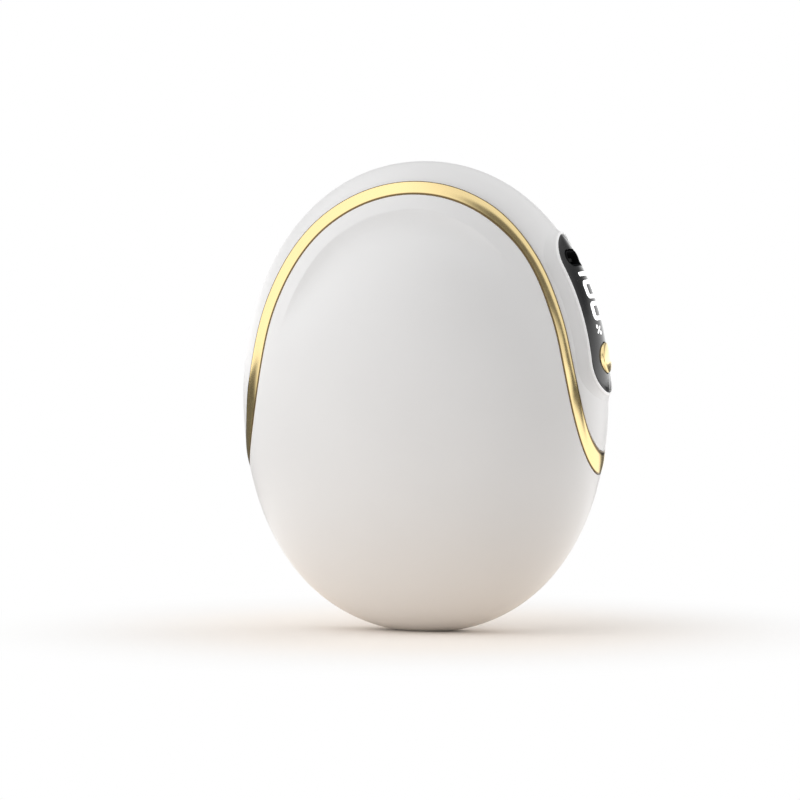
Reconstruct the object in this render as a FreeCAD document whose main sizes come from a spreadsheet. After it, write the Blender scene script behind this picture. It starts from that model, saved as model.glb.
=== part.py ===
import FreeCAD, Part
import math
import os

from FreeCAD import Placement, Rotation, Vector

doc = FreeCAD.newDocument("hand_warmer")

# Driving sizes in millimetres
SIZES = {
    # pebble form
    "half_width": 38.4,
    "half_thickness": 20.0,
    "height": 96.0,
    "foot_depth": 0.4,
    "fullness_top": 0.578,
    "fullness_base": 0.605,
    "wall": 2.2,
    "seam": 0.1,
    # trim loop, measured where it lies flat against the sides
    "trim_width": 1.6,
    "trim_end_width": 4.7,
    "trim_rise": 0.7,
    "trim_round": 0.5,
    # display window
    "lens_rise": 0.3,
    "lens_thickness": 1.25,
    "lens_flatness": 3.5,
    "lens_gap": 0.1,
    "bezel_width": 1.1,
    "bezel_rise": 0.25,
    "bezel_round": 0.3,
    "ledge": 1.0,
    # lit digits
    "segment_gap": 0.2,
    "diffuser_depth": 2.7,
    "diffuser_thickness": 0.6,
    "guide_past": 2.0,
    "percent_turn": 38.0,
    "led_thickness": 2.8,
    "stack_gap": 0.1,
    "board_thickness": 1.0,
    "board_edge": 0.5,
    # charging socket
    "socket_width": 8.94,
    "socket_tall": 3.26,
    "socket_wall": 0.3,
    "socket_sink": 1.1,
    "socket_length": 6.8,
    "socket_room": 0.3,
    "socket_back": 1.0,
    "tongue_width": 6.7,
    "tongue_tall": 0.7,
    "tongue_length": 4.6,
    # power button
    "button_gap": 0.2,
    "button_rim": 0.35,
    "button_dome": 0.35,
    "flange_margin": 0.6,
    "flange_depth": 2.0,
    "flange_thickness": 0.6,
    "stem_radius": 1.2,
    "stem_length": 1.4,
    "button_travel": 0.4,
    "switch_side": 4.5,
    "switch_thickness": 1.6,
    "plunger_radius": 1.0,
    "plunger_out": 0.6,
    "plunger_in": 0.4,
    "plunger_gap": 0.15,
    "switch_board_width": 8.0,
    "switch_board_length": 5.6,
    # frame
    "frame_gap": 0.2,
    "frame_wall": 1.6,
    "frame_reach": 5.0,
    "web_thickness": 2.0,
    "pocket_width": 17.0,
    "pocket_margin": 2.0,
    "pocket_gap": 0.2,
    "boss_radius": 2.5,
    "screw_radius": 1.0,
    "screw_gap": 0.1,
    "screw_length": 8.0,
    "screw_head_radius": 1.9,
    "screw_head": 1.4,
    # battery cells
    "cell_round": 1.5,
    # heating layers
    "plate_thickness": 0.8,
    "film_thickness": 0.3,
    "layer_gap": 0.1,
    "pad_margin": 1.6,
    "sensor_radius": 1.0,
    # power board
    "main_board_width": 26.0,
    "board_rest": 4.2,
    "window_height": 9.0,
    "board_screw_edge": 2.0,
    "board_screw_length": 3.0,
    "chip_thickness": 0.9,
    "coil_thickness": 3.0,
    "part_split": 0.4,
    "part_gap": 0.5,
    "capacitor_length": 2.0,
    "capacitor_side": 1.2,
    "capacitor_gap": 2.5,
    # leads
    "lead_radius": 0.5,
    "lead_bend": 1.5,
    "cell_lead_gap": 2.0,
    "cell_lead_rise": 2.2,
    "cell_lead_drop": 1.0,
    "film_lead_gap": 3.0,
    "film_lead_up": 2.0,
    "film_lead_turn": 7.0,
    "link_across": 3.2,
    "link_along": 1.0,
    "link_pitch": 1.6,
    "link_out": 4.0,
    "link_inset": 2.5,
    "link_down": 5.4,
    "link_run": 5.5,
    "switch_lead_across": 2.6,
    "switch_lead_along": 2.0,
    "switch_lead_out": 2.4,
}

# Sizes that follow from the ones above, so that one change carries through
TIED = {
    # heights on the pebble
    "belt_height": "0.5 * height",
    "trim_centre": "0.6302 * height",
    "trim_end": "0.363 * height",
    "panel_low": "0.5208 * height",
    "panel_high": "0.8531 * height",
    "boss_low_z": "0.2708 * height",
    "boss_high_z": "0.6875 * height",
    "cell_height": "0.5208 * height",
    "cell_base": "0.2031 * height",
    "heat_centre": "0.4792 * height",
    "heat_half_height": "0.3125 * height",
    "main_board_base": "0.75 * height",
    # widths
    "boss_low_x": "0.625 * half_width",
    "boss_high_x": "0.5859 * half_width",
    "cell_width": "0.9375 * half_width",
    "heat_half_width": "0.5469 * half_width",
    # depths
    "cell_thickness": "0.43 * half_thickness",
    "trim_half": "0.5 * half_thickness",
    "panel_width": "1.36 * trim_half",
    "digit_height": "0.485 * panel_width",
    "diffuser_width": "0.5588 * panel_width",
    # places along the window, from its top or its foot
    "panel_rise": "panel_high - panel_low",
    "socket_height": "panel_high - 0.1629 * panel_rise",
    "one_height": "panel_high - 0.2789 * panel_rise",
    "tens_height": "panel_high - 0.373 * panel_rise",
    "units_height": "panel_high - 0.5203 * panel_rise",
    "percent_height": "panel_high - 0.6175 * panel_rise",
    "button_height": "panel_low + 0.1944 * panel_rise",
    "digit_width": "0.116 * panel_rise",
    "stroke": "0.0266 * panel_rise",
    "percent_size": "0.0752 * panel_rise",
    "dot_radius": "0.175 * percent_size",
    "diffuser_length": "0.4263 * panel_rise",
    "diffuser_shift": "-0.0784 * panel_rise",
    "display_board_low": "-0.2884 * panel_rise",
    "button_radius": "0.0972 * panel_rise",
    "flange_radius": "button_radius + flange_margin",
    "display_board_width": "socket_width + 2 * ( socket_room + board_edge )",
    # places on the power board
    "main_board_height": "0.5 * main_board_width",
    "window_width": "main_board_width - 2 * board_rest",
    "board_screw_x": "main_board_width / 2 - board_screw_edge",
    "chip_side": "0.1923 * main_board_width",
    "coil_side": "0.2308 * main_board_width",
    "coil_down": "coil_side / 2 - part_split",
    "chip_up": "chip_side / 2 + part_split + part_gap",
    "capacitor_x": "chip_side / 2 + capacitor_gap",
    "cell_lead_x": "coil_side / 2 + cell_lead_gap",
    "film_lead_x": "board_screw_x - film_lead_gap",
}

sheet = doc.addObject("Spreadsheet::Sheet", "Sizes")
for row, alias in enumerate([*SIZES, *TIED], start=1):
    sheet.set("A%d" % row, alias)
    sheet.setAlias("B%d" % row, alias)
    sheet.set("B%d" % row, str(SIZES[alias]) if alias in SIZES else "=" + TIED[alias])
doc.recompute()


def size(alias):
    return float(sheet.get(alias))


def cell(text):
    """Expression text with every size name pointed at the sheet."""
    words = []
    for word in text.replace("(", " ( ").replace(")", " ) ").split():
        words.append("Sizes." + word if word in SIZES or word in TIED else word)
    return " ".join(words)


def bind(item, **sizes):
    for name, text in sizes.items():
        item.setExpression(name, cell(text))
    return item


def box(name, length, width, height, place):
    """A box centred on its placement in x and y, rising along its z."""
    item = bind(doc.addObject("Part::Box", name), Length=length, Width=width, Height=height)
    doc.recompute()
    shift = Vector(-item.Length.Value / 2, -item.Width.Value / 2, 0)
    item.Placement = place.multiply(Placement(shift, Rotation()))
    return item


def cylinder(name, radius, height, place):
    item = bind(doc.addObject("Part::Cylinder", name), Radius=radius, Height=height)
    item.Placement = place
    return item


def cut(name, base, tool):
    item = doc.addObject("Part::Cut", name)
    item.Base = base
    item.Tool = tool
    return item


def fuse(name, *shapes):
    item = doc.addObject("Part::MultiFuse", name)
    item.Shapes = list(shapes)
    return item


def common(name, *shapes):
    item = doc.addObject("Part::MultiCommon", name)
    item.Shapes = list(shapes)
    return item


def feature(name, shape):
    item = doc.addObject("Part::Feature", name)
    item.Shape = shape
    return item


# Pebble outline: two cubic arcs that meet at the belt
def quarter(top, inset=0.0):
    """Control points (radius, height) from the pole to the belt."""
    radius = size("half_width") - inset
    belt = size("belt_height")
    pole = size("height") - inset if top else inset - size("foot_depth")
    fullness = size("fullness_top" if top else "fullness_base")
    return [
        Vector(0, 0, pole),
        Vector(0, fullness * radius, pole),
        Vector(0, radius, belt + fullness * (pole - belt)),
        Vector(0, radius, belt),
    ]


def bezier(points):
    curve = Part.BezierCurve()
    curve.setPoles(points)
    return curve


def pebble(name, inset, thickness=None):
    """The pebble solid drawn in by inset, flattened to its half thickness."""
    upper = quarter(True, inset)
    lower = quarter(False, inset)
    axis = Part.LineSegment(lower[0], upper[0]).toShape()
    edges = [bezier(upper).toShape(), bezier(lower).toShape(), axis]
    face = Part.Face(Part.Wire(Part.__sortEdges__(edges)))
    round_form = face.revolve(Vector(0, 0, 0), Vector(0, 0, 1), 360)
    depth = (size("half_thickness") if thickness is None else thickness) - inset
    squash = FreeCAD.Matrix()
    squash.scale(1, depth / (size("half_width") - inset), 1)
    return feature(name, round_form.transformGeometry(squash))


def side_point(height):
    """Outline radius and lean of the side at a height above the belt."""
    curve = bezier(quarter(True))
    low, high = 0.0, 1.0
    for _ in range(60):
        middle = (low + high) / 2
        if curve.value(middle).z > height:
            low = middle
        else:
            high = middle
    tangent = curve.tangent(low)[0]
    return curve.value(low).y, math.degrees(math.atan2(tangent.y, -tangent.z))


def side_frame(height, lean=None):
    """Placement on the window's crest: x across, y up along it, z outwards."""
    radius, tilt = side_point(height)
    turn = Rotation(Vector(0, 1, 0), -(tilt if lean is None else lean))
    face_out = Rotation(Vector(1, 1, 1), 120)
    origin = Vector(radius + size("lens_rise"), 0, height)
    return Placement(origin, turn.multiply(face_out))


def shifted(place, across=0.0, along=0.0, out=0.0):
    return place.multiply(Placement(Vector(across, along, out), Rotation()))


cover = 2 * size("height")
through = 0.8 * size("half_width")
skin = pebble("skin", 0.0)
cavity = pebble("cavity", size("wall"))
trim_skin = pebble("trim_skin", -size("trim_rise"))


def half_space(name, side, gap):
    """Everything in front (-1) or behind (+1) of the middle plane."""
    item = doc.addObject("Part::Box", name)
    item.Length = item.Width = item.Height = cover
    start = gap if side > 0 else -cover - gap
    item.Placement = Placement(Vector(-cover / 2, start, 0), Rotation())
    return item


# Arch prisms seen from the side: a long half ellipse under two straight legs
def arch(name, half, end):
    ellipse = doc.addObject("Part::Ellipse", name + "_end")
    bind(ellipse, MajorRadius="trim_centre - ( %s )" % end, MinorRadius=half)
    centre = Vector(0, 0, size("trim_centre"))
    ellipse.Placement = Placement(centre, Rotation(Vector(0, 1, 0), -90))
    prism = doc.addObject("Part::Extrusion", name + "_prism")
    prism.Base = ellipse
    prism.DirMode = "Custom"
    prism.Dir = Vector(1, 0, 0)
    prism.LengthFwd = prism.LengthRev = cover / 2
    prism.Solid = True
    legs = doc.addObject("Part::Box", name + "_legs")
    bind(legs, Width="2 * ( %s )" % half)
    legs.Length = cover
    legs.Height = cover / 2
    doc.recompute()
    legs.Placement = Placement(Vector(-cover / 2, -legs.Width.Value / 2, centre.z), Rotation())
    return fuse(name, prism, legs)


half_out = "trim_half + trim_width / 2"
half_in = "trim_half - trim_width / 2"
end_out = "trim_end - trim_end_width / 2"
end_in = "trim_end + trim_end_width / 2"
arch_room = arch("arch_room", half_out + " + seam", end_out + " - seam")
arch_out = arch("arch_out", half_out, end_out)
arch_in = arch("arch_in", half_in, end_in)
arch_band = arch("arch_band", half_in + " - seam", end_in + " + seam")

# Gold trim: a loop that stands a little proud, its outer edges rounded
trim_wall = cut("trim_wall", trim_skin, cavity)
trim_strip = cut("trim_strip", arch_out, arch_in)
trim_raw = common("trim_raw", trim_wall, trim_strip)
doc.recompute()


def outer_edges(shape, surface, reach=0.02):
    """Numbers of the edges that lie on a surface all the way along."""
    found = []
    for number, edge in enumerate(shape.Edges, start=1):
        if edge.Degenerated:
            continue
        points = edge.discretize(7)
        if all(surface.distToShape(Part.Vertex(p))[0] < reach for p in points):
            found.append(number)
    return found


def rounded(name, base, edges, radius):
    item = doc.addObject("Part::Fillet", name)
    item.Base = base
    item.Edges = [(number, size(radius), size(radius)) for number in edges]
    return item


trim_edges = outer_edges(trim_raw.Shape, Part.Shell(trim_skin.Shape.Faces))
trim_ring = rounded("trim_ring", trim_raw, trim_edges, "trim_round")

# Front and rear shells: the skin outside the arch, split at the middle plane
skin_wall = cut("skin_wall", skin, cavity)
shell_wall = cut("shell_wall", skin_wall, arch_room)
front_shell = common("front_shell", shell_wall, half_space("front_side", -1, size("seam") / 2))
rear_plain = common("rear_plain", shell_wall, half_space("rear_side", 1, size("seam") / 2))

# Screw posts of the rear shell
post_skin = pebble("post_skin", size("wall") * 0.7)
half_web = size("web_thickness") / 2
boss_places = [
    (sign * size(x), size(z))
    for x, z in (("boss_low_x", "boss_low_z"), ("boss_high_x", "boss_high_z"))
    for sign in (-1, 1)
]
backwards = Rotation(Vector(1, 0, 0), -90)


def along_y(x, y, z):
    """Placement whose z axis points to the rear."""
    return Placement(Vector(x, y, z), backwards)


posts = []
pilot_holes = []
screws = []
web_holes = []
for count, (x, z) in enumerate(boss_places):
    start = half_web + size("stack_gap")
    posts.append(cylinder("post_%d" % count, "boss_radius", "half_thickness", along_y(x, start, z)))
    hole = along_y(x, start, z)
    pilot_holes.append(cylinder("pilot_%d" % count, "screw_radius + seam / 2", "screw_length", hole))
    web_hole = along_y(x, -2 * half_web, z)
    web_holes.append(
        cylinder("web_hole_%d" % count, "screw_radius + screw_gap", "4 * web_thickness", web_hole)
    )
    head = along_y(x, -half_web - size("screw_head"), z)
    screws.append(cylinder("head_%d" % count, "screw_head_radius", "screw_head", head))
    screws.append(cylinder("shank_%d" % count, "screw_radius", "screw_length", along_y(x, -half_web, z)))
post_set = common("post_set", post_skin, fuse("post_rods", *posts))
rear_posts = fuse("rear_posts", rear_plain, post_set)
rear_shell = cut("rear_shell", rear_posts, fuse("pilot_set", *pilot_holes))
frame_screws = fuse("frame_screws", *screws)

# Display window: a pill that follows the side but is flatter across
lens_depth = size("half_thickness") + size("lens_flatness")
lens_skin = pebble("lens_skin", -size("lens_rise"), lens_depth)
lens_back = pebble("lens_back", size("lens_thickness") - size("lens_rise"), lens_depth)
bezel_skin = pebble("bezel_skin", -size("lens_rise") - size("bezel_rise"), lens_depth)
panel_mid = (size("panel_low") + size("panel_high")) / 2
low_x = side_point(size("panel_low"))[0]
high_x = side_point(size("panel_high"))[0]
panel_lean = math.degrees(math.atan2(low_x - high_x, size("panel_rise")))
panel_length = math.hypot(low_x - high_x, size("panel_rise"))
panel_frame = side_frame(panel_mid, panel_lean)
panel_bulge = (side_point(panel_mid)[0] - (low_x + high_x) / 2) * math.cos(math.radians(panel_lean))


def pill(name, length, width, depth, place, upright=False):
    """A stadium prism centred on its placement, through both sides of it."""
    turned = place
    if upright:
        turned = place.multiply(Placement(Vector(), Rotation(Vector(0, 0, 1), 90)))
    start = shifted(turned, out=-depth / 2)
    bar = doc.addObject("Part::Box", name + "_bar")
    bar.Length = length - width
    bar.Width = width
    bar.Height = depth
    bar.Placement = shifted(start, -(length - width) / 2, -width / 2)
    ends = []
    for count, side in enumerate((-1, 1)):
        end = doc.addObject("Part::Cylinder", "%s_end_%d" % (name, count))
        end.Radius = width / 2
        end.Height = depth
        end.Placement = shifted(start, side * (length - width) / 2)
        ends.append(end)
    return fuse(name, bar, *ends)


def panel_pill(name, margin):
    """The window's outline grown by a margin, or shrunk by a negative one."""
    length = panel_length + 2 * margin
    width = size("panel_width") + 2 * margin
    return pill(name, length, width, through, panel_frame, upright=True)


opening = panel_pill("opening", 0)
lens_outline = panel_pill("lens_outline", -size("lens_gap"))
bezel_outline = panel_pill("bezel_outline", size("bezel_width"))
sight = panel_pill("sight", -size("ledge"))

# Lit digits: bars of a light guide that fill slots of the window
display = side_frame(size("tens_height"))
lean = side_point(size("tens_height"))[1]


def up_panel(height):
    """Distance along the display for a height on the object."""
    return (height - size("tens_height")) / math.cos(math.radians(lean))


def guide_bar(name, across, along, width, length, turn=0.0):
    """One lit bar, from the guide's plate out past the window."""
    item = doc.addObject("Part::Box", name)
    item.Length = width
    item.Width = length
    item.Height = size("diffuser_depth") + size("guide_past")
    place = shifted(display, across, along, -size("diffuser_depth"))
    place = place.multiply(Placement(Vector(), Rotation(Vector(0, 0, 1), turn)))
    item.Placement = shifted(place, -width / 2, -length / 2)
    return item


stroke = size("stroke")
digit_height = size("digit_height")
digit_width = size("digit_width")
segment_gap = size("segment_gap")
bars = []


def add_bar(across, along, width, length, turn=0.0):
    bars.append(guide_bar("lit_%d" % len(bars), across, along, width, length, turn))


half_bar = (digit_height - stroke) / 2 - segment_gap
cross_bar = digit_width - stroke - segment_gap
# the figure one is two bars across the window
for side in (-1, 1):
    add_bar(side * (digit_height - stroke) / 4, up_panel(size("one_height")), half_bar, stroke)
# each nought is four bars across and two along
for centre in ("tens_height", "units_height"):
    middle = up_panel(size(centre))
    for side in (-1, 1):
        edge = middle + side * (digit_width - stroke) / 2
        for part in (-1, 1):
            add_bar(part * (digit_height - stroke) / 4, edge, half_bar, stroke)
        add_bar(side * (digit_height - stroke) / 2, middle, stroke, cross_bar)
# the percent sign: a slanted bar between two dots, on the digits' base line
percent = size("percent_size")
percent_across = -(digit_height - percent) / 2
percent_along = up_panel(size("percent_height"))
add_bar(percent_across, percent_along, percent, stroke / 2, size("percent_turn"))
dots = []
for count, side in enumerate((-1, 1)):
    dot = doc.addObject("Part::Cylinder", "lit_dot_%d" % count)
    dot.Radius = size("dot_radius")
    dot.Height = size("diffuser_depth") + size("guide_past")
    aside = side * percent * 0.3
    dot.Placement = shifted(
        display, percent_across + aside, percent_along - aside, -size("diffuser_depth")
    )
    dots.append(dot)
lit_bars = fuse("lit_bars", *bars, *dots)

plate_place = shifted(
    display, 0, size("diffuser_shift"), -size("diffuser_depth") - size("diffuser_thickness")
)
guide_plate = box("guide_plate", "diffuser_width", "diffuser_length", "diffuser_thickness", plate_place)
guide_solid = fuse("guide_solid", guide_plate, lit_bars)
digit_diffuser = common("digit_diffuser", guide_solid, lens_skin)

led_depth = size("diffuser_depth") + size("diffuser_thickness") + size("stack_gap")
led_place = shifted(display, 0, size("diffuser_shift"), -led_depth - size("led_thickness"))
led_module = box("led_module", "diffuser_width", "diffuser_length", "led_thickness", led_place)

# Charging socket, through the display board
socket_along = up_panel(size("socket_height"))
socket = shifted(display, 0, socket_along)
socket_middle = shifted(socket, out=-size("socket_sink") - size("socket_length") / 2)
socket_width = size("socket_width")
socket_tall = size("socket_tall")
socket_length = size("socket_length")
thin = 2 * size("socket_wall")
room = 2 * size("socket_room")
socket_skin = pill("socket_skin", socket_width, socket_tall, socket_length, socket_middle)
socket_bore = pill("socket_bore", socket_width - thin, socket_tall - thin, socket_length, socket_middle)
usb_shell = cut("usb_shell", socket_skin, socket_bore)
back_place = shifted(socket, out=-size("socket_sink") - socket_length + size("socket_back") / 2)
socket_plug = pill("socket_plug", socket_width - thin, socket_tall - thin, size("socket_back"), back_place)
blade_place = shifted(socket, out=-size("socket_sink") - socket_length + size("socket_back"))
blade = box("blade", "tongue_width", "tongue_tall", "tongue_length", blade_place)
usb_tongue = fuse("usb_tongue", socket_plug, blade)
socket_hole = pill("socket_hole", socket_width + room, socket_tall + room, through, socket)

board_depth = led_depth + size("led_thickness")
display_back = board_depth + size("board_thickness")
board_top = socket_along + socket_tall / 2 + size("socket_room") + size("board_edge")
board_plain = doc.addObject("Part::Box", "display_plain")
bind(board_plain, Length="display_board_width", Height="board_thickness")
board_plain.Width = board_top - size("display_board_low")
doc.recompute()
board_across = -board_plain.Length.Value / 2
board_plain.Placement = shifted(display, board_across, size("display_board_low"), -display_back)
display_board = cut("display_board", board_plain, socket_hole)

# Side band: the skin inside the arch with a raised bezel round the window
band_wall = common("band_wall", skin_wall, arch_band)
bezel_block = common("bezel_block", bezel_outline, cut("bezel_wall", bezel_skin, cavity))
band_bezel = fuse("band_bezel", band_wall, bezel_block)
band_pocket = cut("band_pocket", band_bezel, cut("lens_room", opening, lens_back))
band_open = cut("band_open", band_pocket, fuse("band_holes", sight, socket_hole))
doc.recompute()
bezel_edges = outer_edges(band_open.Shape, Part.Shell(bezel_skin.Shape.Faces))
side_band = rounded("side_band", band_open, bezel_edges, "bezel_round")

# Power button and its switch
press = side_frame(size("button_height"))
cap_base = shifted(press, out=-size("flange_depth") - size("flange_thickness"))
cap_rod = cylinder(
    "cap_rod",
    "button_radius",
    "flange_depth + flange_thickness + button_rim + button_dome",
    cap_base,
)
dome_radius = (size("button_radius") ** 2 + size("button_dome") ** 2) / (2 * size("button_dome"))
dome = doc.addObject("Part::Sphere", "dome")
bind(dome, Radius="( button_radius ^ 2 + button_dome ^ 2 ) / ( 2 * button_dome )")
dome.Placement = shifted(press, out=size("button_rim") + size("button_dome") - dome_radius)
cap = common("cap", cap_rod, dome)
flange = cylinder("flange", "flange_radius", "flange_thickness", cap_base)
stem = cylinder("stem", "stem_radius", "stem_length", shifted(cap_base, out=-size("stem_length")))
power_button = fuse("power_button", cap, flange, stem)
button_hole = cylinder(
    "button_hole", "button_radius + button_gap", "half_width", shifted(press, out=-size("half_width") / 2)
)

plunger_top = shifted(cap_base, out=-size("stem_length"))
plunger_length = size("plunger_out") + size("plunger_in")
switch_plunger = cylinder(
    "switch_plunger", "plunger_radius", "plunger_out + plunger_in", shifted(plunger_top, out=-plunger_length)
)
switch_top = shifted(plunger_top, out=-size("plunger_out"))
switch_base = shifted(switch_top, out=-size("switch_thickness"))
switch_block = box("switch_block", "switch_side", "switch_side", "switch_thickness", switch_base)
well_depth = size("plunger_in") + size("button_travel") + size("plunger_gap")
well = cylinder(
    "well",
    "plunger_radius + plunger_gap",
    "plunger_in + button_travel + plunger_gap + 1",
    shifted(switch_top, out=-well_depth),
)
tact_switch = cut("tact_switch", switch_block, well)
switch_board_place = shifted(switch_base, out=-size("board_thickness"))
switch_board = box(
    "switch_board", "switch_board_width", "switch_board_length", "board_thickness", switch_board_place
)

lens_layer = cut("lens_layer", lens_skin, lens_back)
lens_blank = common("lens_blank", lens_layer, lens_outline)
lens_holes = fuse("lens_holes", socket_hole, button_hole, lit_bars)
display_lens = cut("display_lens", lens_blank, lens_holes)

# Inner frame: a web across the middle with a rim that both shells lap over
frame_inset = size("wall") + size("frame_gap")
frame_skin = pebble("frame_skin", frame_inset)
frame_inside = pebble("frame_inside", frame_inset + size("frame_wall"))


def slab(name, half):
    item = doc.addObject("Part::Box", name)
    item.Length = item.Height = cover
    bind(item, Width="2 * ( %s )" % half)
    doc.recompute()
    item.Placement = Placement(Vector(-cover / 2, -item.Width.Value / 2, 0), Rotation())
    return item


frame_rim = common("frame_rim", cut("rim_wall", frame_skin, frame_inside), slab("rim_slab", "frame_reach"))
frame_web = common("frame_web", frame_skin, slab("web_slab", "web_thickness / 2"))
frame_plain = fuse("frame_plain", frame_rim, frame_web)
switch_back = (
    size("flange_depth")
    + size("flange_thickness")
    + size("stem_length")
    + size("plunger_out")
    + size("switch_thickness")
    + size("board_thickness")
)
deepest = max(display_back, switch_back, size("socket_sink") + socket_length)
panel_room = doc.addObject("Part::Box", "panel_room")
bind(panel_room, Length="pocket_width", Height="half_width")
panel_room.Width = panel_length + 2 * size("pocket_margin")
doc.recompute()
panel_room.Placement = shifted(
    panel_frame,
    -panel_room.Length.Value / 2,
    -panel_room.Width.Value / 2,
    -panel_bulge - deepest - size("pocket_gap"),
)
board_back = -half_web - size("stack_gap")
board_front = board_back - size("board_thickness")
board_middle = size("main_board_base") + size("main_board_height") / 2
web_window = box(
    "web_window",
    "window_width",
    "window_height",
    "4 * web_thickness",
    along_y(0, -4 * half_web, board_middle),
)
board_screw_parts = []
board_holes = []
for count, sign in enumerate((-1, 1)):
    x = sign * size("board_screw_x")
    top = board_front - size("screw_head")
    board_screw_parts.append(
        cylinder("board_head_%d" % count, "screw_head_radius", "screw_head", along_y(x, top, board_middle))
    )
    board_screw_parts.append(
        cylinder(
            "board_shank_%d" % count,
            "screw_radius",
            "board_screw_length",
            along_y(x, board_front, board_middle),
        )
    )
    board_holes.append(
        cylinder(
            "board_hole_%d" % count,
            "screw_radius + screw_gap",
            "8 * web_thickness",
            along_y(x, -8 * half_web, board_middle),
        )
    )
board_screws = fuse("board_screws", *board_screw_parts)
board_hole_set = fuse("board_hole_set", *board_holes)
frame_cuts = fuse("frame_cuts", panel_room, web_window, board_hole_set, *web_holes)
inner_frame = cut("inner_frame", frame_plain, frame_cuts)

# Power board with its parts, on the front of the web
main_plain = box(
    "main_plain",
    "main_board_width",
    "main_board_height",
    "board_thickness",
    along_y(0, board_front, board_middle),
)
main_board = cut("main_board", main_plain, board_hole_set)
controller_chip = box(
    "controller_chip",
    "chip_side",
    "chip_side",
    "chip_thickness",
    along_y(0, board_front - size("chip_thickness"), board_middle + size("chip_up")),
)
power_inductor = box(
    "power_inductor",
    "coil_side",
    "coil_side",
    "coil_thickness",
    along_y(0, board_front - size("coil_thickness"), board_middle - size("coil_down")),
)
capacitor_list = []
for count, sign in enumerate((-1, 1)):
    x = sign * size("capacitor_x")
    place = along_y(x, board_front - size("capacitor_side"), board_middle + size("chip_up"))
    capacitor_list.append(
        box("capacitor_%d" % count, "capacitor_side", "capacitor_length", "capacitor_side", place)
    )
board_capacitors = fuse("board_capacitors", *capacitor_list)

# Battery cells and heating layers, the same at the front and at the rear
plate_skin = pebble("plate_skin", size("wall") + size("layer_gap"))
film_skin = pebble("film_skin", size("wall") + size("layer_gap") + size("plate_thickness"))
pad_inset = size("wall") + 2 * size("layer_gap") + size("plate_thickness") + size("film_thickness")
film_inside = pebble("film_inside", pad_inset - size("layer_gap"))
pad_skin = pebble("pad_skin", pad_inset)
plate_layer = cut("plate_layer", plate_skin, film_skin)
film_layer = cut("film_layer", film_skin, film_inside)


def heat_prism(name, side, margin, start):
    """An upright oval reaching out from the middle to one face."""
    oval = doc.addObject("Part::Ellipse", name + "_oval")
    bind(oval, MajorRadius="heat_half_height - " + margin, MinorRadius="heat_half_width - " + margin)
    turn = Rotation(Vector(1, 0, 0), 90).multiply(Rotation(Vector(0, 0, 1), 90))
    oval.Placement = Placement(Vector(0, side * start, size("heat_centre")), turn)
    prism = doc.addObject("Part::Extrusion", name)
    prism.Base = oval
    prism.DirMode = "Custom"
    prism.Dir = Vector(0, side, 0)
    prism.LengthFwd = cover
    prism.Solid = True
    return prism


cell_start = half_web + size("layer_gap")
pad_start = cell_start + size("cell_thickness") + size("layer_gap")
sensor_y = size("half_thickness") - pad_inset - size("sensor_radius")
layers = {}
sensors = []
for face, side in (("front", -1), ("rear", 1)):
    cell_y = -cell_start - size("cell_thickness") if side < 0 else cell_start
    block = box(
        face + "_block",
        "cell_width",
        "cell_height",
        "cell_thickness",
        along_y(0, cell_y, size("cell_base") + size("cell_height") / 2),
    )
    doc.recompute()
    edges = range(1, len(block.Shape.Edges) + 1)
    layers[face + "_cell"] = rounded(face + "_cell", block, edges, "cell_round")
    wide = heat_prism(face + "_wide", side, "0", cell_start)
    narrow = heat_prism(face + "_narrow", side, "pad_margin", pad_start)
    layers[face + "_heat_plate"] = common(face + "_heat_plate", plate_layer, wide)
    layers[face + "_heating_film"] = common(face + "_heating_film", film_layer, wide)
    sensor = bind(doc.addObject("Part::Sphere", face + "_sensor"), Radius="sensor_radius")
    sensor.Placement = Placement(Vector(0, side * sensor_y, size("belt_height")), Rotation())
    sensors.append(sensor)
    hollow = bind(doc.addObject("Part::Sphere", face + "_hollow"), Radius="sensor_radius + layer_gap")
    hollow.Placement = sensor.Placement
    pad = common(face + "_pad", pad_skin, narrow)
    layers[face + "_foam_pad"] = cut(face + "_foam_pad", pad, hollow)
temperature_sensors = fuse("temperature_sensors", *sensors)


# Leads: round wires of straight runs joined by tangent arcs
def lead(points):
    radius = size("lead_radius")
    bend = size("lead_bend")
    edges = []
    start = points[0]
    for before, corner, after in zip(points, points[1:], points[2:]):
        back = (before - corner).normalize()
        ahead = (after - corner).normalize()
        half_turn = (math.pi - back.getAngle(ahead)) / 2
        reach = bend * math.tan(half_turn)
        enter = corner + back * reach
        leave = corner + ahead * reach
        middle = (back + ahead).normalize()
        top = corner + middle * (bend / math.cos(half_turn) - bend)
        edges.append(Part.LineSegment(start, enter).toShape())
        edges.append(Part.Arc(enter, top, leave).toShape())
        start = leave
    edges.append(Part.LineSegment(start, points[-1]).toShape())
    path = Part.Wire(edges)
    ring = Part.Wire(Part.makeCircle(radius, points[0], points[1] - points[0]))
    return path.makePipeShell([ring], True, False)


def lead_set(name, routes):
    return feature(name, Part.makeCompound([lead(route) for route in routes]))


clear = size("lead_radius") + size("layer_gap")
cell_top = size("cell_base") + size("cell_height")
cell_middle = cell_start + size("cell_thickness") / 2
front_landing = board_front - clear
cell_routes = []
rise = size("cell_lead_rise")
lead_top = board_middle - size("cell_lead_drop")
for x in (-size("cell_lead_x"), size("cell_lead_x")):
    cell_routes.append(
        [
            Vector(x, -cell_middle, cell_top),
            Vector(x, -cell_middle, cell_top + rise),
            Vector(x, front_landing, cell_top + 2 * rise),
            Vector(x, front_landing, lead_top),
        ]
    )
    cell_routes.append(
        [
            Vector(x, cell_middle, cell_top),
            Vector(x, cell_middle, lead_top),
            Vector(x, board_back, lead_top),
        ]
    )
battery_leads = lead_set("battery_leads", cell_routes)


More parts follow.
